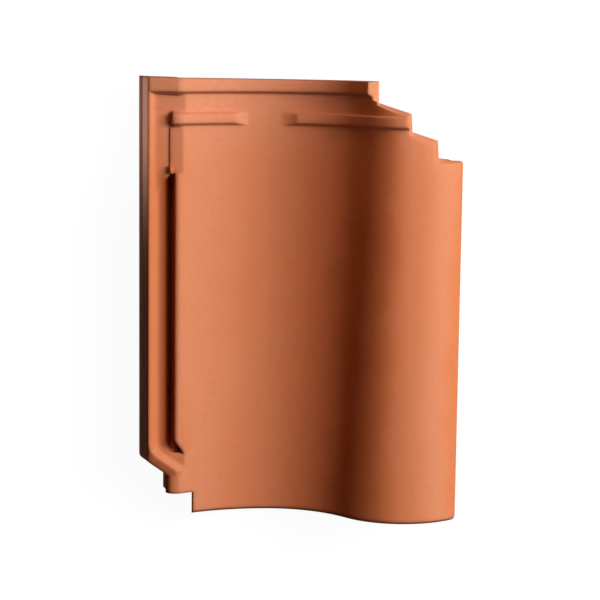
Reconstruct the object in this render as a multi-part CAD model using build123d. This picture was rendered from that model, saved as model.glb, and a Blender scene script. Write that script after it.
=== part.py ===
"""Interlocking clay pantile with one roll and one side lock, pressed and fired in one piece.

The tile is laid out with X running across it from the outer foot of the side lock, Y running
from the foot edge to the head edge, and Z rising from the underside of the pan. The finished
solid is moved so that its origin lies under the middle of its box, with +Z up.
"""

import os
from math import asin, atan, cos, hypot, radians, sin, sqrt

from build123d import *

# Overall sizes, millimetres
LENGTH = 362.0
WIDTH = 262.0
WALL = 11.0

# Laying sizes: the pitch to the neighbouring tile and to the next course
COVER_WIDTH = WIDTH - 56.0
COURSE_GAUGE = LENGTH - 57.0

# The S-shaped section: a dished pan between a rounded crown at its left and the roll
CROWN_X = 31.2
CROWN_RADIUS = 8.0
CROWN_SLOPE = 30.0
PAN_X = 105.5
ROLL_X = WIDTH - 44.0
ROLL_RISE = 53.0
ROLL_OUTER_RADIUS = 66.0
FLANK_FOOT_SHARE = 0.57
FLANK_HEAD_SHARE = 0.733

# Lip that closes the roll's right edge down over the neighbouring tile
LIP_RADIUS = 8.0
LIP_BOTTOM_Z = 25.0
LIP_WIDTH = 9.0

# Side lock: outer rib, channel shelf and groove
LOCK_BOTTOM_Z = 5.0
LOCK_CREST_Z = 32.6
LOCK_CREST_X = 8.2
LOCK_HEM_HEIGHT = 9.0
LOCK_HEM_DRAFT = 2.0
SHELF_Z = 28.3
SHELF_X = 13.5
SHELF_RIGHT_X = CROWN_X + 7.2
SCOOP_DEPTH = 2.6
GROOVE_FLOOR_Z = 19.5
GROOVE_RIGHT_X = CROWN_X - 3.0
GROOVE_LEFT_X = GROOVE_RIGHT_X - 3.4
GROOVE_HEAD_Y = LENGTH - 74.0
GROOVE_FOOT_Y = 62.5
RIDGE_X = CROWN_X - 1.8
RIDGE_ROUND = 1.5

# Diagonal foot end of the lock: silhouette corners and the mouth of the groove
LOCK_FOOT_Y = 45.0
SHOULDER_X = CROWN_X - 11.2
DIAGONAL_END_Y = 31.0
BAND_SET_BACK = 4.7
BAND_RISE = 2.8
CREST_SET_BACK = 12.2
SHELF_SET_BACK = 18.3
CREST_TURN = 7.0
FOOT_TURN = 2.5
MOUTH_Y = 52.0

# Shoulder and foot strip, the two steps of the cut corner at the left of the foot
SHOULDER_Y = 18.5
SHOULDER_FALL = 7.0
STRIP_ARRIS = 1.8
FOOT_STRIP_X = CROWN_X + 12.8

# Pad, levelled out of the crown between the groove's head end and the second rib
PAD_Z = 29.3
PAD_FOOT_Y = LENGTH - 77.5
PAD_LEFT_X = CROWN_X - 5.7
PAD_RIGHT_X = CROWN_X + 6.3

# Ribs across the head, whose sides slope
HEAD_RIB_HEIGHT = 4.2
HEAD_RIB_WIDTH = 13.8
SECOND_RIB_HEIGHT = 3.6
SECOND_RIB_WIDTH = 11.2
SECOND_RIB_Y = LENGTH - 39.4
SECOND_RIB_START_X = CROWN_X - 3.6
RIB_END_RUN = 1.4
SECOND_RIB_END_X = ROLL_X - 1.5
RIB_FOOT_SLOPE = 2.5
RIB_HEAD_SLOPE = 1.6
GAP_LEFT_X = 89.0
GAP_RIGHT_X = 118.0
GAP_FADE_RADIUS = 45.0

# Stepped cut at the right of the head, where the tiles beside and above lap over
HEAD_BOW = 1.8
FLANGE_END_X = ROLL_X - 25.5
FLANGE_FOOT_Y = LENGTH - 18.5
STEP_ONE_X = ROLL_X
STEP_ONE_Y = LENGTH - 26.5
STEP_TWO_Y = LENGTH - 41.0
STEP_TWO_X = ROLL_X + 22.0
STEP_TWO_OUTER_Y = LENGTH - 48.0
STEP_THREE_Y = LENGTH - 62.5
STEP_THREE_OUTER_Y = LENGTH - 64.0
STEP_CORNER = 4.0
LIP_END_DRAFT = 3.5
RIM_WIDTH = 2.8
RIM_DEPTH = 7.0
FACET_WIDTH = 5.0
FACET_DEPTH = 7.0
FACET_FOOT_RUN = 9.0

# Underside
NIB_FACE_Y = LENGTH - 29.0
NIB_DEPTH = 15.0
NIB_WIDTH = 26.0
NIB_THICKNESS = 13.0
NIB_LEFT_X = PAN_X - 33.5
NIB_RIGHT_X = PAN_X + 38.5
NIB_TAPER = 3.0
LOCK_GAP = 2.0
UNDER_RIB_WIDTH = 3.0
UNDER_RIB_DRAFT = 2.5
UNDER_RIB_FOOT_Y = 10.0
UNDER_RIB_HEAD_Y = LENGTH - 72.0
FOOT_RIB_DEPTH = 2.5
FOOT_RIB_WIDTH = 8.0
FOOT_RIB_START_X = 52.0
FOOT_RIB_END_X = ROLL_X - 13.0
FOOT_ROUND = 3.2
OVERLAP = 0.5


def plane_at(y):
    """The section plane at one distance from the foot, with its local axes along X and Z."""
    return Plane(origin=(0, y, 0), x_dir=(1, 0, 0), z_dir=(0, -1, 0))


def flank_x(y):
    """Where the flank is steepest: the roll narrows from the foot to the head."""
    share = FLANK_FOOT_SHARE + (FLANK_HEAD_SHARE - FLANK_FOOT_SHARE) * y / LENGTH
    return PAN_X + share * (ROLL_X - PAN_X)


def wave_arcs(y, lift):
    """Arcs of the top surface, raised by lift, as centre, radius, side and two angles each."""
    slope = radians(CROWN_SLOPE)
    reach = (PAN_X - CROWN_X) / sin(slope)
    margin_radius = reach - CROWN_RADIUS
    crown_z = WALL + margin_radius - reach * cos(slope)
    flank = 2 * atan(ROLL_RISE / (ROLL_X - PAN_X))
    pan_radius = (flank_x(y) - PAN_X) / sin(flank)
    roll_radius = (ROLL_X - flank_x(y)) / sin(flank)
    crest = WALL + ROLL_RISE
    across = WIDTH - LIP_RADIUS - ROLL_X
    up = sqrt((ROLL_OUTER_RADIUS - LIP_RADIUS) ** 2 - across**2)
    edge = asin(across / (ROLL_OUTER_RADIUS - LIP_RADIUS))
    outer_z = crest - ROLL_OUTER_RADIUS
    return [
        (CROWN_X, crown_z, CROWN_RADIUS + lift, 1, 0.0, slope),
        (PAN_X, WALL + margin_radius, margin_radius - lift, -1, -slope, 0.0),
        (PAN_X, WALL + pan_radius, pan_radius - lift, -1, 0.0, flank),
        (ROLL_X, crest - roll_radius, roll_radius + lift, 1, -flank, 0.0),
        (ROLL_X, outer_z, ROLL_OUTER_RADIUS + lift, 1, 0.0, edge),
        (WIDTH - LIP_RADIUS, outer_z + up, LIP_RADIUS + lift, 1, edge, radians(90)),
    ]


def arc_point(arc, angle):
    """A point of one arc, at an angle from the vertical through its centre."""
    centre_x, centre_z, radius, side = arc[:4]
    return (centre_x + radius * sin(angle), centre_z + side * radius * cos(angle))


def arc_edge(arc, end=None):
    """One arc as an edge, cut short at another end angle where one is given."""
    start = arc[4]
    end = arc[5] if end is None else end
    middle = (start + end) / 2
    return ThreePointArc(arc_point(arc, start), arc_point(arc, middle), arc_point(arc, end))


def wave_height(x, y):
    """Height of the top surface at one place of the plan."""
    for arc in wave_arcs(y, 0):
        centre_x, centre_z, radius, side, start, end = arc
        if x <= centre_x + radius * sin(end):
            return centre_z + side * sqrt(radius**2 - (x - centre_x) ** 2)
    return LIP_BOTTOM_Z


def crown_top():
    """Height of the crown between the pan and the side lock."""
    return wave_height(CROWN_X, 0)


def tile_face(y, drop):
    """The whole section of the S-shaped wall with its lip, its weather side lowered by drop."""
    upper = wave_arcs(y, -drop)
    lower = wave_arcs(y, -WALL)
    inner_x = WIDTH - LIP_WIDTH
    inner_angle = asin((inner_x - ROLL_X) / lower[4][2])
    under = [arc_edge(arc) for arc in lower[1:4]] + [arc_edge(lower[4], inner_angle)]
    top = [arc_edge(arc) for arc in upper]
    foot = (WIDTH - drop, LIP_BOTTOM_Z)
    lip = Polyline(top[-1] @ 1, foot, (inner_x, LIP_BOTTOM_Z), under[-1] @ 1)
    left = Line(under[0] @ 0, top[0] @ 0)
    return plane_at(y) * make_face(top + [lip] + under + [left])


def wall():
    """The S-shaped wall, with its foot arris rounded on the weather side."""
    rounding = [(0.0, 1.0), (0.1, 0.564), (0.35, 0.24), (1.0, 0.0)]
    faces = [tile_face(FOOT_ROUND * along, FOOT_ROUND * drop) for along, drop in rounding]
    return loft(faces + [tile_face(LENGTH, 0)], ruled=True)


def band_face(y, lift, depth):
    """A band of the section from the crown to the lip, raised by lift and reaching depth below it."""
    upper = [arc_edge(arc) for arc in wave_arcs(y, lift)[:5]]
    lower = [arc_edge(arc) for arc in wave_arcs(y, lift - depth)[1:5]]
    left = Line(lower[0] @ 0, upper[0] @ 0)
    right = Line(upper[-1] @ 1, lower[-1] @ 1)
    return plane_at(y) * make_face(upper + [right] + lower + [left])


def outline(points, z):
    """A flat face from corners in plan."""
    return Plane.XY.offset(z) * make_face(Polyline(*points, close=True))


def frustum(low_points, low_z, high_points, high_z):
    """A block between two plan outlines with the same number of corners."""
    return loft([outline(low_points, low_z), outline(high_points, high_z)], ruled=True)


def slab(x_range, y_range, z_range):
    """A box between two corners."""
    size = [high - low for low, high in (x_range, y_range, z_range)]
    return Pos(x_range[0], y_range[0], z_range[0]) * Box(*size, align=(Align.MIN, Align.MIN, Align.MIN))


def triangle(points):
    """A flat face between three points in space."""
    return make_face(Polyline(*points, close=True))


def diagonal_y(x, distance):
    """Y of the lock's diagonal foot line at one X, with the line moved inwards by distance."""
    run_y = DIAGONAL_END_Y - LOCK_FOOT_Y
    return LOCK_FOOT_Y + (distance * hypot(SHOULDER_X, run_y) + run_y * x) / SHOULDER_X


def turn_points(x, distance, reach):
    """Three points that round the turn from the lock's long side into its diagonal foot line."""
    y = diagonal_y(x, distance)
    run = hypot(SHOULDER_X, DIAGONAL_END_Y - LOCK_FOOT_Y)
    along = (SHOULDER_X / run, (DIAGONAL_END_Y - LOCK_FOOT_Y) / run)
    middle = (x + 0.27 * reach * along[0], y + 0.27 * reach * (1 + along[1]))
    return [(x, y + reach), middle, (x + reach * along[0], y + reach * along[1])]


def lock_outline(left, shoulder_left, distance):
    """Plan outline of the lock: outer side, diagonal foot end and shoulder."""
    return [
        (left, LENGTH),
        *turn_points(left, distance, FOOT_TURN),
        (shoulder_left, diagonal_y(shoulder_left, distance)),
        (shoulder_left, SHOULDER_Y),
        (CROWN_X, SHOULDER_Y),
        (CROWN_X, LENGTH),
    ]


def lock_body():
    """Solid of the side lock and the shoulder, before its channel is taken out."""
    hem_z = LOCK_BOTTOM_Z + LOCK_HEM_HEIGHT
    edge_z = LOCK_CREST_Z - BAND_RISE
    lean = (LOCK_CREST_X - LOCK_HEM_DRAFT) / (LOCK_CREST_Z - hem_z)
    edge_x = LOCK_CREST_X - lean * BAND_RISE
    shoulder_x = SHOULDER_X + edge_x - LOCK_HEM_DRAFT
    low = lock_outline(0, SHOULDER_X, 0)
    middle = lock_outline(LOCK_HEM_DRAFT, SHOULDER_X + LOCK_HEM_DRAFT, LOCK_HEM_DRAFT)
    upper = lock_outline(edge_x, shoulder_x, BAND_SET_BACK)
    ends = [shoulder_x + 1, CROWN_X]
    band = upper[:5] + [(x, diagonal_y(x, BAND_SET_BACK)) for x in ends] + [(CROWN_X, LENGTH)]
    crest = [(LOCK_CREST_X, LENGTH)] + turn_points(LOCK_CREST_X, CREST_SET_BACK, CREST_TURN)
    crest += [(x, diagonal_y(x, CREST_SET_BACK)) for x in [shoulder_x] + ends]
    crest += [(CROWN_X, LENGTH)]
    side = frustum(low, LOCK_BOTTOM_Z, middle, hem_z) + frustum(middle, hem_z, upper, edge_z)
    above = (crown_top() - SHOULDER_FALL, LOCK_CREST_Z)
    side -= slab((SHOULDER_X, 2 * CROWN_X), (0, upper[4][1]), above)
    return side + frustum(band, edge_z, crest, LOCK_CREST_Z)


def shoulder_crown():
    """Rounded top of the shoulder, which carries the pan's crown over to the left."""
    left = SHOULDER_X + 1.15 * LOCK_HEM_DRAFT
    low_z = LOCK_BOTTOM_Z + LOCK_HEM_HEIGHT
    top_z = crown_top()
    start = (left, top_z - SHOULDER_FALL)
    end = (CROWN_X - LOCK_HEM_DRAFT, top_z)
    middle = (left + 0.29 * (end[0] - left), top_z - 0.29 * SHOULDER_FALL)
    crown = ThreePointArc(start, middle, end)
    close = Polyline(end, (CROWN_X, top_z), (CROWN_X, low_z), (left, low_z), start)
    face = plane_at(SHOULDER_Y) * make_face([crown, close])
    return extrude(face, amount=-(diagonal_y(CROWN_X, CREST_SET_BACK) - SHOULDER_Y + 1))


def strip_end():
    """End of the diagonal strip, which turns along the pan and sinks into its margin."""
    fall = LOCK_CREST_Z - SHELF_Z
    sections = []
    for run, sink, spread in ((0.0, 0.0, 1.0), (0.45, 0.25 * fall, 0.85), (0.95, 1.2 * fall, 0.5)):
        x = CROWN_X + run * (SHELF_RIGHT_X - CROWN_X)
        turned_x = CROWN_X + 0.2 * (x - CROWN_X)
        foot_y = diagonal_y(turned_x, CREST_SET_BACK - spread * (CREST_SET_BACK - BAND_SET_BACK))
        crest_y = diagonal_y(turned_x, CREST_SET_BACK)
        back_y = diagonal_y(turned_x, CREST_SET_BACK + spread * (SHELF_SET_BACK - CREST_SET_BACK))
        crest_z = LOCK_CREST_Z - sink
        foot = (x, foot_y, crest_z - BAND_RISE)
        sections.append(triangle([foot, (x, crest_y, crest_z), (x, back_y, crest_z - fall)]))
    return loft(sections, ruled=True)


def channel_room():
    """The room above the channel's shelf, out to the pan at its two ends."""
    head = LENGTH + OVERLAP
    top_z = LOCK_CREST_Z + 1
    share = (top_z - SHELF_Z) / (LOCK_CREST_Z - SHELF_Z)
    high_x = SHELF_X - (SHELF_X - LOCK_CREST_X - OVERLAP) * share
    high_back = SHELF_SET_BACK - (SHELF_SET_BACK - CREST_SET_BACK) * share
    ribs_y = SECOND_RIB_Y + SECOND_RIB_WIDTH
    right = [
        (SHELF_RIGHT_X, MOUTH_Y),
        (RIDGE_X, GROOVE_FOOT_Y + 1),
        (RIDGE_X, PAD_FOOT_Y),
        (PAD_LEFT_X, PAD_FOOT_Y),
        (PAD_LEFT_X, ribs_y),
        (SHELF_RIGHT_X, ribs_y),
        (SHELF_RIGHT_X, head),
    ]
    levels = []
    for left, back in ((SHELF_X, SHELF_SET_BACK), (high_x, high_back)):
        foot = [(x, diagonal_y(x, back)) for x in (CROWN_X, SHELF_RIGHT_X)]
        levels.append([(left, head), *turn_points(left, back, CREST_TURN), *foot, *right])
    return frustum(levels[0], SHELF_Z, levels[1], top_z)


def groove_outline(left, right, head_y, set_back, short):
    """Plan outline of the groove at one level, slanted at its head and drawn out to its mouth."""
    return [
        (left, head_y - 1.3 * (right - left)),
        *turn_points(left, SHELF_SET_BACK + set_back, CREST_TURN),
        (SHELF_RIGHT_X - short, MOUTH_Y - 1 + 0.4 * short),
        (right, GROOVE_FOOT_Y + 0.5 * short),
        (right, head_y),
    ]


def groove():
    """Groove beside the ridge and the scoop left of it, both ending in the mouth."""
    scoop_z = SHELF_Z - SCOOP_DEPTH
    levels = [
        (GROOVE_FLOOR_Z, GROOVE_LEFT_X, GROOVE_RIGHT_X, -3.0, 4.5, 4.0),
        (scoop_z - 2.2, GROOVE_LEFT_X - 2.4, GROOVE_RIGHT_X + 0.4, -1.5, 3.0, 3.0),
        (scoop_z, GROOVE_LEFT_X - 4.2, GROOVE_RIGHT_X + 0.8, -0.5, 2.0, 2.2),
        (scoop_z + 0.5, SHELF_X + 1.6, RIDGE_X - 0.2, 0.0, 1.0, 1.6),
        (SHELF_Z + 0.4, SHELF_X, RIDGE_X, 2.0, 0.1, 0.8),
    ]
    faces = []
    for z, left, right, up, set_back, short in levels:
        points = groove_outline(left, right, GROOVE_HEAD_Y + up, set_back, short)
        faces.append(outline(points, z))
    return loft(faces, ruled=True)


def ridge_room():
    """The room over the ridge, which rounds its edge down to the groove."""
    top_z = crown_top()
    start = (RIDGE_X, top_z - RIDGE_ROUND)
    end = (CROWN_X, top_z)
    arc = ThreePointArc(start, (RIDGE_X + 0.3 * RIDGE_ROUND, top_z - 0.3 * RIDGE_ROUND), end)
    high_z = LOCK_CREST_Z + OVERLAP
    left = RIDGE_X - OVERLAP
    lines = Polyline(end, (CROWN_X, high_z), (left, high_z), (left, top_z - RIDGE_ROUND), start)
    foot_y = diagonal_y(RIDGE_X, SHELF_SET_BACK)
    return extrude(plane_at(foot_y) * make_face([arc, lines]), amount=-(LENGTH - foot_y + OVERLAP))


def pad_room():
    """The room above the pad, with a round foot end where the ridge begins."""
    radius = (PAD_RIGHT_X - PAD_LEFT_X) / 2
    middle = PAD_LEFT_X + radius
    plan = Pos(middle, PAD_FOOT_Y + radius) * Circle(radius)
    length = LENGTH - PAD_FOOT_Y - radius
    plan += Pos(middle, PAD_FOOT_Y + radius + length / 2) * Rectangle(2 * radius, length)
    return extrude(Plane.XY.offset(PAD_Z) * plan, LOCK_CREST_Z)


def rib_section(x, start_y, end_y, height, top_z):
    """Section of a rib along Y at one X, with its sloping sides carried down below the shelf."""
    low_z = SHELF_Z - 2
    fall = (top_z - low_z) / height
    top_start = start_y + RIB_FOOT_SLOPE
    top_end = end_y - RIB_HEAD_SLOPE
    return make_face(
        Polyline(
            (x, top_start - fall * RIB_FOOT_SLOPE, low_z),
            (x, top_start, top_z),
            (x, top_end, top_z),
            (x, top_end + fall * RIB_HEAD_SLOPE, low_z),
            close=True,
        )
    )


def level_rib(start_y, end_y, height, left_x, left_z):
    """Straight part of a rib over the side lock, from a top at left_z out to the pan's margin."""
    tops = [(left_x - RIB_END_RUN, SHELF_Z - 1), (left_x, left_z)]
    for share in (0.0, 0.25, 0.5, 1.25):
        x = CROWN_X + share * (SHELF_RIGHT_X - CROWN_X)
        tops.append((x, wave_height(x, 0) + height - 0.05))
    return loft([rib_section(x, start_y, end_y, height, top) for x, top in tops], ruled=True)


def rib_across(start_y, end_y, height):
    """A rib over the section with a sloping foot side and a steeper head side."""
    sink = OVERLAP
    sections = [
        (start_y - sink * RIB_FOOT_SLOPE / height, -sink),
        (start_y + RIB_FOOT_SLOPE, height),
        (end_y - RIB_HEAD_SLOPE, height),
        (end_y + sink * RIB_HEAD_SLOPE / height, -sink),
    ]
    return loft([band_face(y, lift, WALL / 2) for y, lift in sections], ruled=True)


def head_rib():
    """The rib along the head edge."""
    start = LENGTH - HEAD_RIB_WIDTH
    end = LENGTH + RIB_HEAD_SLOPE
    ribs = rib_across(start, end, HEAD_RIB_HEIGHT)
    ribs += level_rib(start, end, HEAD_RIB_HEIGHT, LOCK_CREST_X + OVERLAP, LOCK_CREST_Z)
    return ribs & slab((0, WIDTH), (0, LENGTH), (0, 2 * WIDTH))


def second_rib():
    """The rib below the head rib, which fades out either side of a gap over the pan."""
    start = SECOND_RIB_Y
    end = SECOND_RIB_Y + SECOND_RIB_WIDTH
    rib = rib_across(start, end, SECOND_RIB_HEIGHT)
    rib &= slab((0, SECOND_RIB_END_X), (0, LENGTH), (0, 2 * WIDTH))
    rib += level_rib(start, end, SECOND_RIB_HEIGHT, SECOND_RIB_START_X, crown_top() + SECOND_RIB_HEIGHT)
    middle = (GAP_LEFT_X + GAP_RIGHT_X) / 2
    half = (GAP_RIGHT_X - GAP_LEFT_X) / 2
    centre_z = wave_height(GAP_LEFT_X, 0) + sqrt(GAP_FADE_RADIUS**2 - half**2)
    room = Plane(origin=(middle, (start + end) / 2, centre_z), z_dir=(0, 1, 0))
    return rib - room * Cylinder(GAP_FADE_RADIUS, 2 * SECOND_RIB_WIDTH)


def nib(centre_x):
    """Hanging nib, narrower at its tip, with its bearing face towards the foot."""
    half = NIB_WIDTH / 2
    root_z = WALL + OVERLAP
    points = [
        (centre_x - half, root_z),
        (centre_x - half + NIB_TAPER, -NIB_DEPTH),
        (centre_x + half - NIB_TAPER, -NIB_DEPTH),
        (centre_x + half, root_z),
    ]
    block = extrude(plane_at(NIB_FACE_Y) * make_face(Polyline(*points, close=True)), amount=-NIB_THICKNESS)
    back = block.edges().group_by(Axis.Y)[-1].sort_by(Axis.Z)[0]
    return chamfer(back, NIB_TAPER)


def under_rib():
    """Long rib under the roll that reaches into the groove of the neighbouring tile."""
    middle = COVER_WIDTH + (GROOVE_LEFT_X + GROOVE_RIGHT_X) / 2
    tip = UNDER_RIB_WIDTH / 2
    root = tip + UNDER_RIB_DRAFT
    foot, head = UNDER_RIB_FOOT_Y, UNDER_RIB_HEAD_Y
    levels = []
    for half, short in ((tip, UNDER_RIB_DRAFT), (root, 0)):
        left, right = middle - half, middle + half
        near, far = foot + short, head - short
        levels.append([(left, near), (right, near), (right, far), (left, far)])
    return frustum(levels[0], GROOVE_FLOOR_Z + LOCK_GAP, levels[1], wave_height(middle, 0) - WALL / 2)


def foot_rib():
    """Rib across the underside that drops between the two head ribs of the next course."""
    start = SECOND_RIB_Y + SECOND_RIB_WIDTH + LOCK_GAP - COURSE_GAUGE
    depth = WALL / 2 + FOOT_RIB_DEPTH
    rib = loft([band_face(y, -WALL / 2, depth) for y in (start, start + FOOT_RIB_WIDTH)], ruled=True)
    return rib & slab((FOOT_RIB_START_X, FOOT_RIB_END_X), (0, LENGTH), (-WALL, WIDTH))


def head_steps():
    """Corners of the stepped cut at the right of the head, from the head edge outwards."""
    return [
        (FLANGE_END_X, LENGTH + 5),
        (FLANGE_END_X, FLANGE_FOOT_Y),
        (STEP_ONE_X, STEP_ONE_Y),
        (STEP_ONE_X + 1, STEP_TWO_Y),
        (STEP_TWO_X, STEP_TWO_OUTER_Y),
        (STEP_TWO_X + 1, STEP_THREE_Y),
        (WIDTH + 5, STEP_THREE_OUTER_Y),
    ]


def head_corner():
    """The room cut away in steps at the right of the head."""
    return extrude(outline(head_steps() + [(WIDTH + 5, LENGTH + 5)], -30), 150)


def rim_height(x, y):
    """Height of the surface at a corner of a cut, carried on past the lip and the crown."""
    inner = WIDTH - LIP_RADIUS - 2
    if x <= inner:
        return wave_height(max(x, CROWN_X), y)
    fall = wave_height(inner - 5, y) - wave_height(inner, y)
    return wave_height(inner, y) - fall * (x - inner) / 5


def rim_section(corner, before, after, width, depth):
    """Section of the rim's room at one corner, mitred between the edges before and after it."""
    sides = []
    for start, end in ((before, corner), (corner, after)):
        run = hypot(end[0] - start[0], end[1] - start[1])
        sides.append(((end[1] - start[1]) / run, -(end[0] - start[0]) / run))
    share = 1 + sides[0][0] * sides[1][0] + sides[0][1] * sides[1][1]
    inward = [(sides[0][i] + sides[1][i]) / share for i in (0, 1)]
    z = rim_height(*corner)
    points = []
    for reach, up in ((-0.2, -1.2), (1.6, 0.6), (-0.2, 0.6)):
        x, y = (corner[i] + inward[i] * reach * width for i in (0, 1))
        points.append((x, y, z + up * depth))
    return triangle(points)


def rim_rooms(corners, width, depth):
    """The rooms of the sloping rim along a cut, one length for each edge between its corners."""
    sections = []
    for i, corner in enumerate(corners):
        last = i + 1 == len(corners)
        before = corners[i - 1] if i else (2 * corner[0] - corners[1][0], 2 * corner[1] - corners[1][1])
        after = (2 * corner[0] - before[0], 2 * corner[1] - before[1]) if last else corners[i + 1]
        sections.append(rim_section(corner, before, after, width, depth))
    return [loft([first, second], ruled=True) for first, second in zip(sections, sections[1:])]


def facet_room():
    """The room of the broad facet on the end of the head flange."""
    z = wave_height(FLANGE_END_X, LENGTH)
    low = wave_height(FLANGE_END_X - FACET_WIDTH, LENGTH)
    slope = (low - z + FACET_DEPTH) / FACET_WIDTH
    points = [
        (FLANGE_END_X + 1, z - FACET_DEPTH - slope),
        (FLANGE_END_X - 3 * FACET_WIDTH, low + 2 * FACET_WIDTH * slope),
        (FLANGE_END_X - 3 * FACET_WIDTH, z + 20),
        (FLANGE_END_X + 1, z + 20),
    ]
    face = plane_at(FLANGE_FOOT_Y - 1) * make_face(Polyline(*points, close=True))
    plan = [
        (FLANGE_END_X + 1, FLANGE_FOOT_Y - 0.6),
        (FLANGE_END_X + 1, LENGTH + 5),
        (FLANGE_END_X - 2 * FACET_FOOT_RUN, LENGTH + 5),
        (FLANGE_END_X - 2 * FACET_FOOT_RUN, FLANGE_FOOT_Y + FACET_FOOT_RUN),
    ]
    return extrude(face, amount=-LENGTH) & extrude(outline(plan, 0), 150)


def foot_corner():
    """The room cut away beside the foot strip and below the shoulder."""
    points = [(-5, -5), (FOOT_STRIP_X, -5), (FOOT_STRIP_X, SHOULDER_Y), (-5, SHOULDER_Y)]
    return extrude(outline(points, -30), 150)


def corner_room(x, y, radius, side_x, side_y):
    """The room that rounds one corner of the plan; the sides say which way the corner points."""
    centre = (x - side_x * radius, y - side_y * radius)
    square = Pos(x, y) * Rectangle(2 * radius, 2 * radius)
    return extrude(Plane.XY.offset(-30) * (square - Pos(*centre) * Circle(radius)), 150)


def lip_end_room():
    """The room beyond the lip's head end, which slopes back towards its lower edge."""
    left, right, back = WIDTH - 2 * LIP_WIDTH, WIDTH + 5, STEP_THREE_OUTER_Y + 5
    low_y = STEP_THREE_OUTER_Y - LIP_END_DRAFT
    low = [(left, low_y), (right, low_y), (right, back), (left, back)]
    high = [(left, STEP_THREE_OUTER_Y), (right, STEP_THREE_OUTER_Y), (right, back), (left, back)]
    return frustum(low, LIP_BOTTOM_Z - 1, high, LIP_BOTTOM_Z + 24)


def head_room():
    """The room beyond the head edge, which bows slightly towards the foot."""
    middle = (LOCK_CREST_X + FLANGE_END_X) / 2
    arc = ThreePointArc((0, LENGTH), (middle, LENGTH - HEAD_BOW), (WIDTH, LENGTH))
    lines = Polyline((WIDTH, LENGTH), (WIDTH, LENGTH + 5), (0, LENGTH + 5), (0, LENGTH))
    return extrude(Plane.XY.offset(-30) * make_face([arc, lines]), 150)


def roof_tile():
    """The whole tile."""
    tile = lock_body() + shoulder_crown() + wall() + strip_end()
    tile -= channel_room()
    tile -= groove()
    tile -= ridge_room()
    tile -= pad_room()
    tile += head_rib()
    tile += second_rib()
    tile += nib(NIB_LEFT_X)
    tile += nib(NIB_RIGHT_X)
    tile += under_rib()
    tile += foot_rib()
    tile -= head_corner()
    tile -= foot_corner()
    strip = [(FOOT_STRIP_X, -5), (FOOT_STRIP_X, SHOULDER_Y)]
    for room in rim_rooms(head_steps(), RIM_WIDTH, RIM_DEPTH) + rim_rooms(strip, STRIP_ARRIS, STRIP_ARRIS):
        tile -= room
    tile -= facet_room()
    tile -= head_room()
    tile -= lip_end_room()
    tile -= corner_room(WIDTH, STEP_THREE_OUTER_Y, STEP_CORNER, 1, 1)
    return tile


def main():
    os.makedirs("parts", exist_ok=True)
    tile = roof_tile()
    box = tile.bounding_box()
    tile = Pos(-(box.min.X + box.max.X) / 2, -(box.min.Y + box.max.Y) / 2, -box.min.Z) * tile
    tile.label = "roof_tile"
    export_step(tile, "parts/roof_tile.step")


if __name__ == "__main__":
    main()
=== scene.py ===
"""Studio picture of an interlocking clay roof tile, seen from above.

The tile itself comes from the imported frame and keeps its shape. This script fires its clay skin,
stands it on a pale studio floor, lights it with soft boxes and sets the camera above it.
"""

import logging
import math
from dataclasses import dataclass, field
from enum import Enum

import bmesh
import bpy
from mathutils import Matrix, Quaternion, Vector

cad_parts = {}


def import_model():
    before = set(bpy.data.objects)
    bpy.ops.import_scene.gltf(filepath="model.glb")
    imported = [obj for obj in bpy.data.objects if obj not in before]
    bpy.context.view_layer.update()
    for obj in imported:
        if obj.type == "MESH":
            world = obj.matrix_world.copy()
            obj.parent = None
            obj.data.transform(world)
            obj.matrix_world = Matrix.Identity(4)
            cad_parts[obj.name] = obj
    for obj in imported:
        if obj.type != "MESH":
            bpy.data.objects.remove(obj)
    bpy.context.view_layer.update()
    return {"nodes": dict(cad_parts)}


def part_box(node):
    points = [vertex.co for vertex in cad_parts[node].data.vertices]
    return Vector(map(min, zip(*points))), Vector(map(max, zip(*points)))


LOG = logging.getLogger("roof_tile_scene")
Colour = tuple[float, float, float]
Range = tuple[float, float]
Socket = bpy.types.NodeSocket
RISING: Range = (0.0, 1.0)
FALLING: Range = (1.0, 0.0)
MEAN_NOISE = 0.5
WHITE: Colour = (1.0, 1.0, 1.0)
HEADWARD = Vector((0.0, 1.0, 0.0))
UPWARD = Vector((0.0, 0.0, 1.0))


class Sum(Enum):
    """Ways in which a maths node joins two values."""

    ADD = "ADD"
    SUBTRACT = "SUBTRACT"
    MULTIPLY = "MULTIPLY"
    LARGER = "MAXIMUM"


def rgba(colour: Colour) -> tuple[float, float, float, float]:
    """The colour with full opacity."""
    return (*colour, 1.0)


@dataclass(frozen=True)
class Pattern:
    """Noise pattern.

    Args:
        scale: Size of the pattern, in waves per metre.
        detail: Number of finer octaves.
        roughness: Strength of the finer octaves.
    """

    scale: float
    detail: float
    roughness: float = 0.5


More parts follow.
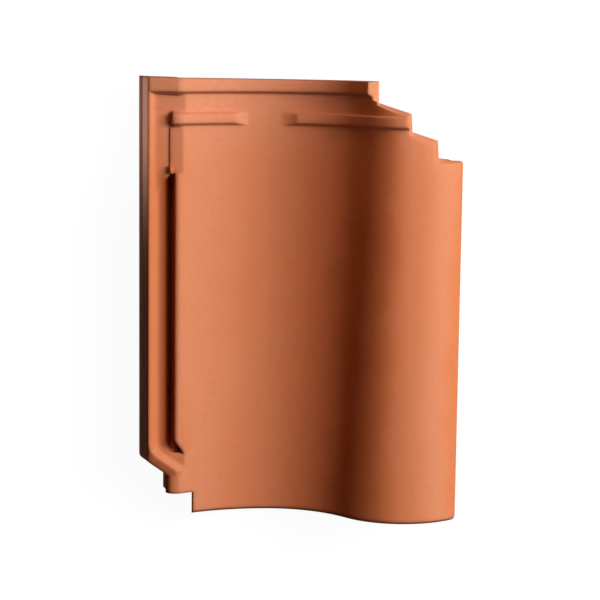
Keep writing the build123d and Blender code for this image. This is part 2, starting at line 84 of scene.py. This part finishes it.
@dataclass
class NodeTree:
    """Small helper that adds nodes to a shader tree and joins them.

    Args:
        tree: The shader tree that is built.
    """

    tree: bpy.types.NodeTree

    def add(self, kind: str, **settings: object) -> bpy.types.Node:
        """Adds a node and sets its properties.

        Args:
            kind: The node's type name.
            settings: Property values of the node.

        Returns:
            The new node.
        """
        node = self.tree.nodes.new(kind)
        for name, value in settings.items():
            setattr(node, name, value)
        return node

    def join(self, source: Socket, target: Socket) -> None:
        """Links one socket to another."""
        self.tree.links.new(source, target)

    def feed(self, value: Socket | Colour | float, target: Socket) -> None:
        """Gives a socket its value.

        Args:
            value: A socket to link, or a colour or a number to set.
            target: The socket that takes it.
        """
        if isinstance(value, Socket):
            self.join(value, target)
        else:
            target.default_value = rgba(value) if isinstance(value, tuple) else value

    def noise(self, vector: Socket, pattern: Pattern) -> Socket:
        """Adds a noise pattern.

        Args:
            vector: Coordinates that it reads.
            pattern: The pattern.

        Returns:
            The pattern's value, from 0 to 1.
        """
        node = self.add("ShaderNodeTexNoise")
        node.inputs["Scale"].default_value = pattern.scale
        node.inputs["Detail"].default_value = pattern.detail
        node.inputs["Roughness"].default_value = pattern.roughness
        self.join(vector, node.inputs["Vector"])
        return node.outputs["Fac"]

    def span(self, value: Socket, source: Range, target: Range = RISING) -> Socket:
        """Maps a range of a value smoothly onto another range.

        Args:
            value: Value to map.
            source: The range that is read, from low to high.
            target: The results at its two ends.

        Returns:
            The mapped value.
        """
        node = self.add("ShaderNodeMapRange", interpolation_type="SMOOTHSTEP")
        node.inputs["From Min"].default_value, node.inputs["From Max"].default_value = source
        node.inputs["To Min"].default_value, node.inputs["To Max"].default_value = target
        self.join(value, node.inputs["Value"])
        return node.outputs["Result"]

    def maths(self, kind: Sum, first: Socket | float, second: Socket | float) -> Socket:
        """Joins two values by a sum.

        Args:
            kind: The sum.
            first: First value.
            second: Second value.

        Returns:
            The result.
        """
        node = self.add("ShaderNodeMath", operation=kind.value)
        self.feed(first, node.inputs[0])
        self.feed(second, node.inputs[1])
        return node.outputs["Value"]

    def product(self, first: Socket, second: Socket) -> Socket:
        """The product of two shares."""
        return self.maths(Sum.MULTIPLY, first, second)

    def band(self, value: Socket, rise: Range, fall: Range) -> Socket:
        """The share that rises over one range of a value and falls over a later one."""
        return self.product(self.span(value, rise), self.span(value, fall, FALLING))

    def axes(self, vector: Socket) -> bpy.types.NodeOutputs:
        """Splits a vector.

        Args:
            vector: The vector.

        Returns:
            Its X, Y and Z.
        """
        parts = self.add("ShaderNodeSeparateXYZ")
        self.join(vector, parts.inputs["Vector"])
        return parts.outputs

    def blend(self, share: Socket, base: Socket | Colour, other: Socket | Colour) -> Socket:
        """Mixes two colours.

        Args:
            share: Share of the second colour.
            base: First colour.
            other: Second colour.

        Returns:
            The mixed colour.
        """
        node = self.add("ShaderNodeMix", data_type="RGBA")
        self.join(share, node.inputs["Factor"])
        first, second = [socket for socket in node.inputs if socket.type == "RGBA"]
        self.feed(base, first)
        self.feed(other, second)
        return [socket for socket in node.outputs if socket.type == "RGBA"][0]

    def seen(self) -> Socket:
        """Finds the rays that show a surface in the picture itself.

        Returns:
            1 for rays from the camera, a mirror or glass, and 0 for the others.
        """
        path = self.add("ShaderNodeLightPath").outputs
        mirrored = self.maths(Sum.LARGER, path["Is Camera Ray"], path["Is Glossy Ray"])
        return self.maths(Sum.LARGER, mirrored, path["Is Transmission Ray"])


@dataclass(frozen=True)
class FiredClay:
    """Natural red clay, unglazed and fired, with a fine sanded skin.

    Faces turned to the right, towards the key lamp, carry a painted highlight, lighter and up to an
    orange tone on the steepest. Those turned to the left carry painted shade, redder and then darker,
    most of all on the upper flank of the roll. The clay is lighter towards the head. The water channel
    holds painted shade, the lock's outer side a painted greyish sheen near the head and painted shade
    beyond it and low down, and painted shade lines the foot's upper arris and the ribs' foot sides.

    A turn says how far a face leans along one axis, from -1 to 1. The ranges in x are in metres
    across the tile, those in y along it and those in z above the floor, all from low to high.

    Args:
        body: Colour of the level clay.
        lit_tone: Painted highlight tone of faces turned a little to the right, towards the key lamp.
        lit_bloom: Painted orange highlight tone of faces turned far to the right.
        shade_tone: Painted shade tone, redder, of faces turned a little to the left.
        headward_pale: Lighter colour that the clay takes on towards the head.
        deep_shade: Painted deep shade of faces turned far to the left and of the roll's upper flank.
        smoked: Browner colour of small patches.
        channel_shade: Painted shade in the water channel.
        outer_sheen: Painted greyish sheen on the outer side of the lock.
        outer_shade: Painted shade on the same side, beyond the sheen.
        hem: Painted dark shade low down on the same side.
        arris: Painted shade along the foot's upper arris and below the ribs across the head.
        lit_tone_turn: Turn over which the painted highlight tone comes in.
        lit_bloom_turn: Turn over which the painted orange highlight comes in.
        shade_tone_turn: Turn over which the redder painted shade tone fades out.
        deep_shade_turn: Turn over which the painted deep shade fades out.
        flank_shade_turn: The same on the roll's upper flank.
        flank_shade_share: Strength of the painted deep shade there.
        flank_shade_z: Where the roll's upper flank begins.
        unevenness: How far clouds shift these turns.
        headward_pale_y: Where the lighter colour towards the head begins and where it is full.
        headward_pale_share: Strength of the lighter colour towards the head.
        smoke_noise: Part of the mottle in which the smoked patches come in.
        smoke_share: Strength of the smoked patches.
        channel_shade_x: Where the painted shade begins and is full, and where it weakens and ends.
        channel_shade_y: The same along the tile.
        outer_side_x: Where the outer side of the lock ends.
        sheen_y: Where the painted sheen begins and where it is full.
        sheen_noise: Part of the mottle in which the painted sheen thins.
        sheen_thin: Strength of the painted sheen where it is thin.
        hem_x: Where the hem ends and the painted sheen begins.
        foot_y: Where the painted shade on the foot's arris is full and where it ends.
        rib_y: Where the ribs begin.
        rib_turn: Turn over which the painted shade on the ribs' foot sides fades out.
        rib_share: Strength of the painted shade on the ribs' foot sides.
        upper_turn: Turn over which a face counts as an upper one.
        clouds: Pattern of the clouds.
        mottle: Pattern of the mottle.
        grain: Pattern of the grain.
        grain_height: Height of the grain in metres.
        grain_strength: Strength of the grain.
        edge_radius: Radius of the worn edges in metres.
        edge_samples: Samples that find the worn edges.
        roughness: Roughness of the skin.
        specular: Strength of the skin's sheen.
    """

    body: Colour = (0.74, 0.23, 0.098)
    lit_tone: Colour = (0.765, 0.27, 0.133)
    lit_bloom: Colour = (0.725, 0.218, 0.08)
    shade_tone: Colour = (0.825, 0.216, 0.078)
    headward_pale: Colour = (0.95, 0.42, 0.26)
    deep_shade: Colour = (0.50, 0.1, 0.02)
    smoked: Colour = (0.64, 0.18, 0.066)
    channel_shade: Colour = (0.30, 0.055, 0.012)
    outer_sheen: Colour = (0.52, 0.27, 0.20)
    outer_shade: Colour = (0.42, 0.13, 0.058)
    hem: Colour = (0.19, 0.065, 0.038)
    arris: Colour = (0.25, 0.075, 0.036)
    lit_tone_turn: Range = (0.0, 0.4)
    lit_bloom_turn: Range = (0.42, 0.68)
    shade_tone_turn: Range = (-0.45, 0.0)
    deep_shade_turn: Range = (-0.9, -0.4)
    flank_shade_turn: Range = (-0.5, -0.1)
    flank_shade_share: float = 0.6
    flank_shade_z: Range = (0.045, 0.056)
    unevenness: float = 0.5
    headward_pale_y: Range = (0.09, 0.175)
    headward_pale_share: float = 0.3
    smoke_noise: Range = (0.5, 0.75)
    smoke_share: float = 0.28
    channel_shade_x: tuple[Range, Range] = ((-0.1178, -0.108), (-0.1055, -0.1025))
    channel_shade_y: tuple[Range, Range] = ((-0.132, -0.120), (0.097, 0.106))
    outer_side_x: Range = (-0.124, -0.1232)
    sheen_y: Range = (0.02, 0.115)
    sheen_noise: Range = (0.3, 0.7)
    sheen_thin: float = 0.7
    hem_x: Range = (-0.128, -0.1274)
    foot_y: Range = (-0.18, -0.1778)
    rib_y: Range = (0.12, 0.125)
    rib_turn: Range = (-0.7, -0.35)
    rib_share: float = 0.58
    upper_turn: Range = (0.02, 0.2)
    clouds: Pattern = Pattern(14.0, 3.0)
    mottle: Pattern = Pattern(260.0, 4.0, 0.6)
    grain: Pattern = Pattern(900.0, 3.0, 0.6)
    grain_height: float = 0.00012
    grain_strength: float = 0.6
    edge_radius: float = 0.005
    edge_samples: int = 8
    roughness: float = 0.8
    specular: float = 0.08

    def make(self) -> bpy.types.Material:
        """Builds the clay's material.

        Returns:
            The material.
        """
        material = bpy.data.materials.new("fired_clay")
        material.use_nodes = True
        nodes = NodeTree(material.node_tree)
        shader = material.node_tree.nodes["Principled BSDF"]
        shader.inputs["Roughness"].default_value = self.roughness
        shader.inputs["Specular IOR Level"].default_value = self.specular
        coordinates = nodes.add("ShaderNodeTexCoord").outputs
        place, facing = coordinates["Object"], nodes.axes(coordinates["Normal"])
        clouds, mottle = nodes.noise(place, self.clouds), nodes.noise(place, self.mottle)
        on_tile = nodes.axes(place)
        smoke = nodes.span(mottle, self.smoke_noise, (0.0, self.smoke_share))
        outside = nodes.span(on_tile["X"], self.outer_side_x, FALLING)
        # Painted highlight and shade by the side that each face is turned to.
        colour = self.painted_light_by_facing(nodes, facing["X"], on_tile, clouds)
        colour = nodes.blend(smoke, colour, self.smoked)
        # Painted shade in the water channel.
        colour = nodes.blend(self.channel_shade_share(nodes, on_tile), colour, self.channel_shade)
        # Painted sheen and painted shade on the lock's outer side.
        colour = nodes.blend(outside, colour, self.outer_side(nodes, on_tile, mottle))
        # Painted shade along the foot's upper arris and on the ribs' foot sides.
        colour = nodes.blend(self.shaded(nodes, on_tile["Y"], facing), colour, self.arris)
        nodes.join(colour, shader.inputs["Base Color"])
        relief = nodes.maths(Sum.ADD, nodes.noise(place, self.grain), mottle)
        nodes.join(self.skin(nodes, relief), shader.inputs["Normal"])
        return material

    def painted_light_by_facing(
        self, nodes: NodeTree, turn: Socket, on_tile: bpy.types.NodeOutputs, clouds: Socket
    ) -> Socket:
        """Paints highlight and shade into the clay by the side that it is turned to, and lightens its
        head.

        Args:
            nodes: The clay's shader tree.
            turn: How far the surface is turned to the right.
            on_tile: Coordinates on the tile.
            clouds: Pattern that makes the change uneven.

        Returns:
            The colour of the clay.
        """
        uneven = nodes.maths(
            Sum.MULTIPLY, nodes.maths(Sum.SUBTRACT, clouds, MEAN_NOISE), self.unevenness
        )
        turn = nodes.maths(Sum.ADD, turn, uneven)
        # Faces turned towards the key lamp on the right get painted highlight tones, those turned away
        # painted shade.
        colour = nodes.blend(nodes.span(turn, self.lit_tone_turn), self.body, self.lit_tone)
        colour = nodes.blend(nodes.span(turn, self.lit_bloom_turn), colour, self.lit_bloom)
        colour = nodes.blend(nodes.span(turn, self.shade_tone_turn, FALLING), colour, self.shade_tone)
        # Lighter towards the head.
        headward_share = nodes.span(on_tile["Y"], self.headward_pale_y, (0.0, self.headward_pale_share))
        colour = nodes.blend(headward_share, colour, self.headward_pale)
        # Painted deep shade on the upper flank of the roll, which is turned away from the key lamp.
        flank = nodes.product(
            nodes.span(turn, self.flank_shade_turn, (self.flank_shade_share, 0.0)),
            nodes.span(on_tile["Z"], self.flank_shade_z),
        )
        colour = nodes.blend(flank, colour, self.deep_shade)
        return nodes.blend(nodes.span(turn, self.deep_shade_turn, FALLING), colour, self.deep_shade)

    def shaded(self, nodes: NodeTree, along: Socket, facing: bpy.types.NodeOutputs) -> Socket:
        """Finds the painted shade on the foot's upper arris and on the foot sides of the ribs.

        Args:
            nodes: The clay's shader tree.
            along: Place along the tile.
            facing: Direction that the surface faces.

        Returns:
            The share of the painted shade.
        """
        upper = nodes.span(facing["Z"], self.upper_turn)
        at_foot = nodes.span(along, self.foot_y, FALLING)
        rib_side = nodes.span(facing["Y"], self.rib_turn, (self.rib_share, 0.0))
        at_ribs = nodes.product(rib_side, nodes.span(along, self.rib_y))
        return nodes.product(upper, nodes.maths(Sum.LARGER, at_foot, at_ribs))

    def channel_shade_share(self, nodes: NodeTree, on_tile: bpy.types.NodeOutputs) -> Socket:
        """The share of the painted shade in the water channel."""
        across, along = nodes.band(on_tile["X"], *self.channel_shade_x), nodes.band(on_tile["Y"], *self.channel_shade_y)
        return nodes.product(across, along)

    def outer_side(self, nodes: NodeTree, on_tile: bpy.types.NodeOutputs, mottle: Socket) -> Socket:
        """Paints the lock's outer side: a greyish sheen towards the head, shade beyond it, darker shade
        on the hem.

        Args:
            nodes: The clay's shader tree.
            on_tile: Coordinates on the tile.
            mottle: Pattern that breaks up the painted sheen.

        Returns:
            The colour of the outer side.
        """
        # Painted greyish sheen, full towards the head and thinned by the mottle.
        patchy = nodes.span(mottle, self.sheen_noise, (1.0, self.sheen_thin))
        painted_sheen = nodes.product(nodes.span(on_tile["Y"], self.sheen_y), patchy)
        # Painted shade on the side, with the painted sheen over it.
        colour = nodes.blend(painted_sheen, self.outer_shade, self.outer_sheen)
        # Darker painted shade on the hem.
        return nodes.blend(nodes.span(on_tile["X"], self.hem_x, FALLING), colour, self.hem)

    def skin(self, nodes: NodeTree, relief: Socket) -> Socket:
        """Gives the clay its grain and its worn edges.

        Args:
            nodes: The clay's shader tree.
            relief: Height of the grain.

        Returns:
            The direction that the skin faces.
        """
        worn_edges = nodes.add("ShaderNodeBevel", samples=self.edge_samples)
        worn_edges.inputs["Radius"].default_value = self.edge_radius
        bump = nodes.add("ShaderNodeBump")
        bump.inputs["Strength"].default_value = self.grain_strength
        bump.inputs["Distance"].default_value = self.grain_height
        nodes.join(relief, bump.inputs["Height"])
        nodes.join(worn_edges.outputs["Normal"], bump.inputs["Normal"])
        return bump.outputs["Normal"]


@dataclass(frozen=True)
class PaleFloor:
    """Pale studio floor that shows almost white and keeps a soft shadow.

    Args:
        glow: Strength of the white that the camera and mirrors see.
        shade: Grey that is added to it and keeps the shadow.
        bounce: Grey of the floor as the tile sees it.
    """

    glow: float = 0.955
    shade: float = 0.1
    bounce: float = 0.08

    def make(self) -> bpy.types.Material:
        """Builds the floor's material.

        Returns:
            The material.
        """
        material = bpy.data.materials.new("pale_floor")
        material.use_nodes = True
        nodes = NodeTree(material.node_tree)
        material.node_tree.nodes.remove(material.node_tree.nodes["Principled BSDF"])
        output = material.node_tree.nodes["Material Output"]
        seen = nodes.seen()
        grey = nodes.add("ShaderNodeBsdfDiffuse")
        grey.inputs["Color"].default_value = rgba((self.bounce,) * 3)
        kept = nodes.add("ShaderNodeBsdfDiffuse")
        kept.inputs["Color"].default_value = rgba((self.shade,) * 3)
        white = nodes.add("ShaderNodeEmission")
        white.inputs["Strength"].default_value = self.glow
        both = nodes.add("ShaderNodeAddShader")
        nodes.join(kept.outputs[0], both.inputs[0])
        nodes.join(white.outputs[0], both.inputs[1])
        choice = nodes.add("ShaderNodeMixShader")
        nodes.join(seen, choice.inputs[0])
        nodes.join(grey.outputs[0], choice.inputs[1])
        nodes.join(both.outputs[0], choice.inputs[2])
        nodes.join(choice.outputs[0], output.inputs["Surface"])
        return material


@dataclass
class RoofTile:
    """The tile as packed, in its clay skin.

    Args:
        node: The tile's CAD node.
        clay: Finish of the tile.
    """

    node: bpy.types.Object
    clay: FiredClay = field(default_factory=FiredClay)

    def dress(self) -> None:
        """Gives the tile its fired clay."""
        self.node.data.materials.clear()
        self.node.data.materials.append(self.clay.make())
        LOG.info("roof_tile: %d faces in fired clay", len(self.node.data.polygons))


@dataclass
class StudioFloor:
    """Level floor under the tile.

    Args:
        size: Side of the floor in metres.
        finish: Material of the floor.
    """

    size: float = 12.0
    finish: PaleFloor = field(default_factory=PaleFloor)

    def build(self) -> None:
        """Lays the floor."""
        shape = bmesh.new()
        bmesh.ops.create_grid(shape, x_segments=1, y_segments=1, size=self.size / 2)
        mesh = bpy.data.meshes.new("studio_floor")
        shape.to_mesh(mesh)
        shape.free()
        floor = bpy.data.objects.new("studio_floor", mesh)
        bpy.context.scene.collection.objects.link(floor)
        floor.data.materials.append(self.finish.make())
        LOG.info("studio_floor: %.0f m square", self.size)


@dataclass(frozen=True)
class SoftBox:
    """One soft oblong studio lamp aimed at the tile.

    Args:
        name: Name of the lamp.
        azimuth: Direction from the tile, in degrees from +X towards +Y.
        elevation: Height above the horizon, in degrees.
        distance: Distance from the point that it is turned to, in metres.
        size: Width and height of the lamp in metres.
        power: Strength in watts.
        tint: Colour of the light.
        aim: The point that it is turned to, in metres from the tile's middle.
        spread: Angle that its light fans out to, in degrees.
    """

    name: str
    azimuth: float
    elevation: float
    distance: float
    size: tuple[float, float]
    power: float
    tint: Colour = WHITE
    aim: tuple[float, float, float] = (0.0, 0.0, 0.0)
    spread: float = 180.0

    def build(self, middle: Vector) -> None:
        """Hangs the lamp and turns it to its aim.

        Args:
            middle: The middle of the tile.
        """
        light = bpy.data.lights.new(self.name, "AREA")
        light.shape = "RECTANGLE"
        light.size, light.size_y = self.size
        light.energy = self.power
        light.color = self.tint
        light.spread = math.radians(self.spread)
        lamp = bpy.data.objects.new(self.name, light)
        turn, lift = math.radians(self.azimuth), math.radians(self.elevation)
        away = Vector((math.cos(lift) * math.cos(turn), math.cos(lift) * math.sin(turn), math.sin(lift)))
        lamp.location = middle + Vector(self.aim) + away * self.distance
        lamp.rotation_euler = (-away).to_track_quat("-Z", "Y").to_euler()
        bpy.context.scene.collection.objects.link(lamp)
        LOG.info("%s: %.3f W", self.name, self.power)


@dataclass
class Studio:
    """Lamps and surrounding light.

    Args:
        lamps: The soft boxes.
        surround: Grey of the light from all round.
    """

    lamps: tuple[SoftBox, ...] = (
        SoftBox("key_light", azimuth=20.0, elevation=37.0, distance=2.0, size=(1.0, 1.2), power=43.0),
        SoftBox(
            "head_light",
            azimuth=90.0,
            elevation=22.0,
            distance=1.3,
            size=(0.5, 0.3),
            power=1.5,
            tint=(1.0, 0.72, 0.5),
        ),
        SoftBox("top_light", azimuth=20.0, elevation=60.0, distance=2.0, size=(0.8, 0.8), power=5.0),
        SoftBox(
            "edge_light",
            azimuth=180.0,
            elevation=5.0,
            distance=0.13,
            size=(0.1, 0.02),
            power=0.031,
            aim=(-0.13, 0.155, -0.015),
            spread=80.0,
        ),
    )
    surround: float = 0.004

    def build(self, middle: Vector) -> None:
        """Hangs the lamps and sets the surrounding light.

        Args:
            middle: The middle of the tile.
        """
        for lamp in self.lamps:
            lamp.build(middle)
        world = bpy.data.worlds.new("studio_world")
        bpy.context.scene.world = world
        world.use_nodes = True
        nodes = NodeTree(world.node_tree)
        sky = world.node_tree.nodes["Background"]
        sky.inputs["Color"].default_value = rgba(WHITE)
        nodes.join(nodes.span(nodes.seen(), RISING, (self.surround, 1.0)), sky.inputs["Strength"])


@dataclass
class Camera:
    """Camera above the tile.

    Args:
        place: Where the camera stands, in metres.
        aim: The point that it looks at, in metres.
        roll: Turn of the picture about the line of sight, in degrees.
        lens: Focal length in millimetres.
        sensor: Width of the sensor in millimetres.
    """

    place: Vector = field(default_factory=lambda: Vector((-0.0905, 0.2387, 1.6383)))
    aim: Vector = field(default_factory=lambda: Vector((0.00198, -0.0021, 0.03)))
    roll: float = 0.688
    lens: float = 118.07
    sensor: float = 36.0

    def build(self) -> None:
        """Sets up the camera and makes it the scene's own."""
        data = bpy.data.cameras.new("camera")
        data.lens = self.lens
        data.sensor_width = self.sensor
        camera = bpy.data.objects.new("camera", data)
        back = (self.place - self.aim).normalized()
        right = HEADWARD.cross(back).normalized()
        level = Matrix((right, back.cross(right), back)).transposed().to_quaternion()
        turn = level @ Quaternion(UPWARD, math.radians(self.roll))
        camera.matrix_world = Matrix.LocRotScale(self.place, turn, None)
        bpy.context.scene.collection.objects.link(camera)
        bpy.context.scene.camera = camera
        LOG.info("camera: %.1f mm lens", self.lens)


def main() -> None:
    """Builds the picture in order: tile, floor, lamps and camera."""
    logging.basicConfig(level=logging.INFO, format="%(name)s: %(message)s")
    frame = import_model()
    low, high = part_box("roof_tile")
    RoofTile(frame["nodes"]["roof_tile"]).dress()
    StudioFloor().build()
    Studio().build((low + high) / 2)
    Camera().build()
    bpy.context.scene.view_settings.view_transform = "Standard"


if __name__ == "__main__":
    main()
